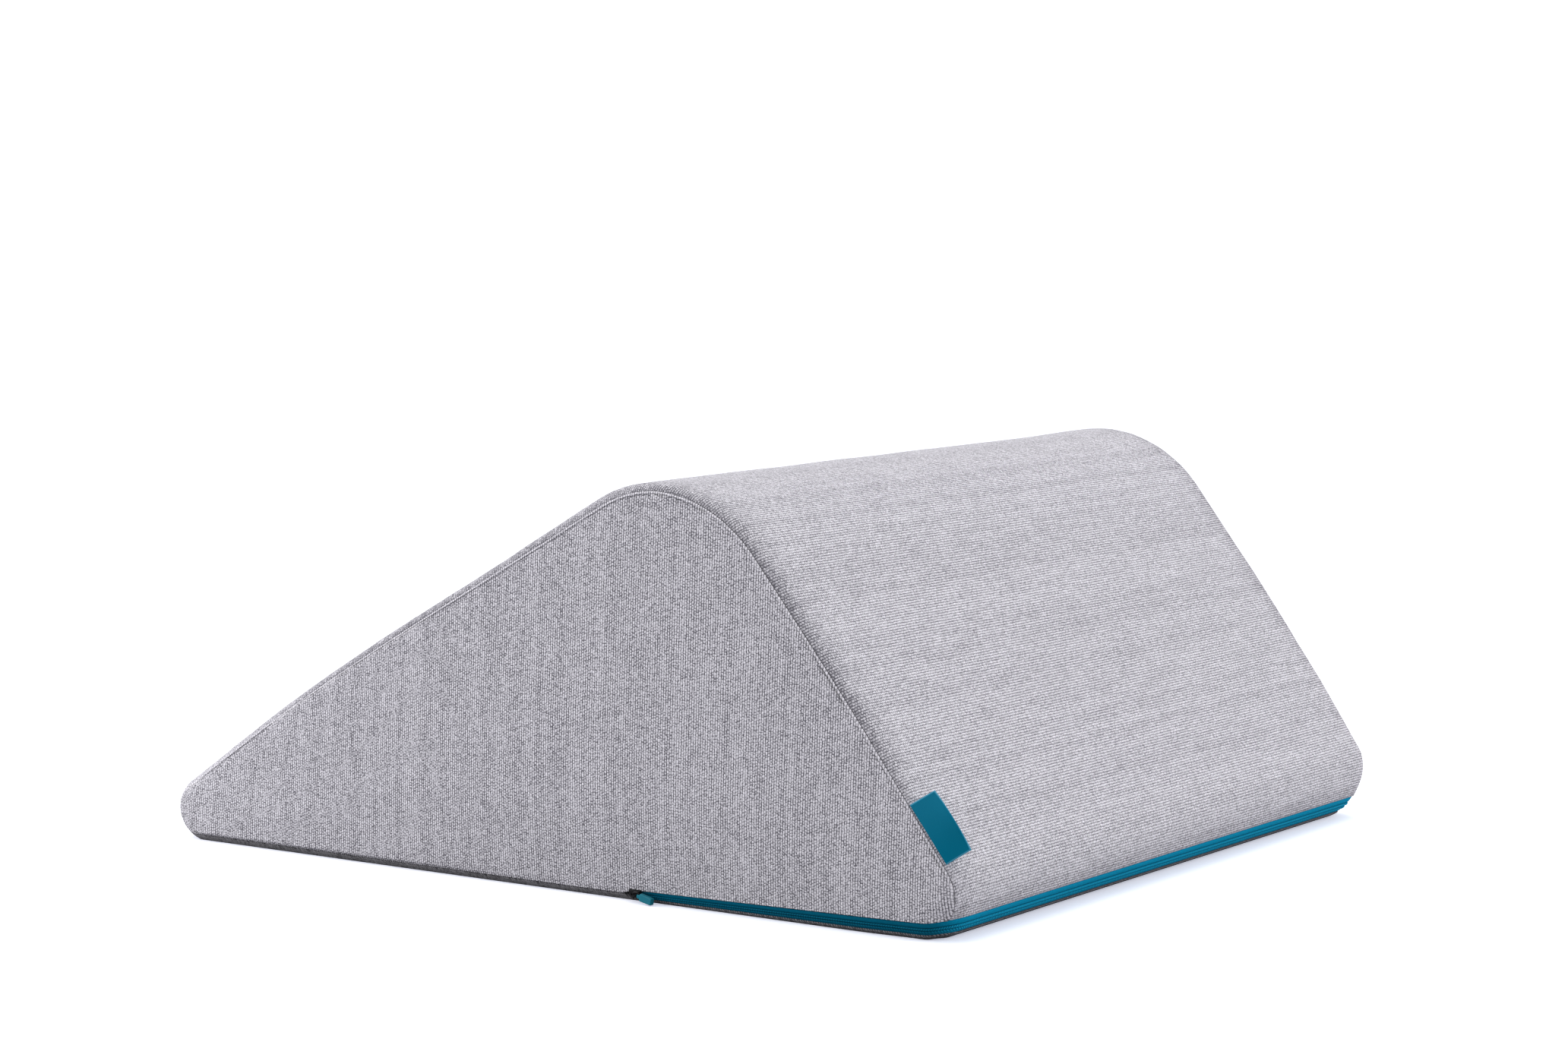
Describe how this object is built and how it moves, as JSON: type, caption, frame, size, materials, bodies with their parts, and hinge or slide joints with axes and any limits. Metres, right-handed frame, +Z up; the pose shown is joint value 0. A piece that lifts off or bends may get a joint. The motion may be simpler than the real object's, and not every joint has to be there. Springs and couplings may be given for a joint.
{
  "type": "leg bolster cushion",
  "caption": "Foam wedge leg bolster with a rounded ridge, steep front, long back slope, sewn fabric cover and foot zip.",
  "frame": {"origin": "Centre of the bounding box on the underside, where the bolster rests.", "axes": "X runs along the ridge from the end with the slider, at -X, to the other end; -Y is the steep front, +Y the long back slope; +Z is up."},
  "size_m": [0.5326, 0.6038, 0.2504],
  "materials": {
    "cover_cloth": "light grey melange woven upholstery cloth",
    "zip_tape": "teal polyester zip tape",
    "slider_metal": "black enamel",
    "pull_plastic": "teal moulded plastic",
    "label_tape": "teal woven label tape, bare"
  },
  "bodies": {
    "root": {"wrap_panel": "cover_cloth", "end_panel_near": "cover_cloth", "end_panel_far": "cover_cloth", "base_panel": "cover_cloth", "zip_tape_upper": "zip_tape", "zip_tape_lower": "zip_tape", "zip_slider": "slider_metal", "zip_link": "slider_metal", "zip_pull": "pull_plastic", "label": "label_tape"}
  },
  "joints": []
}
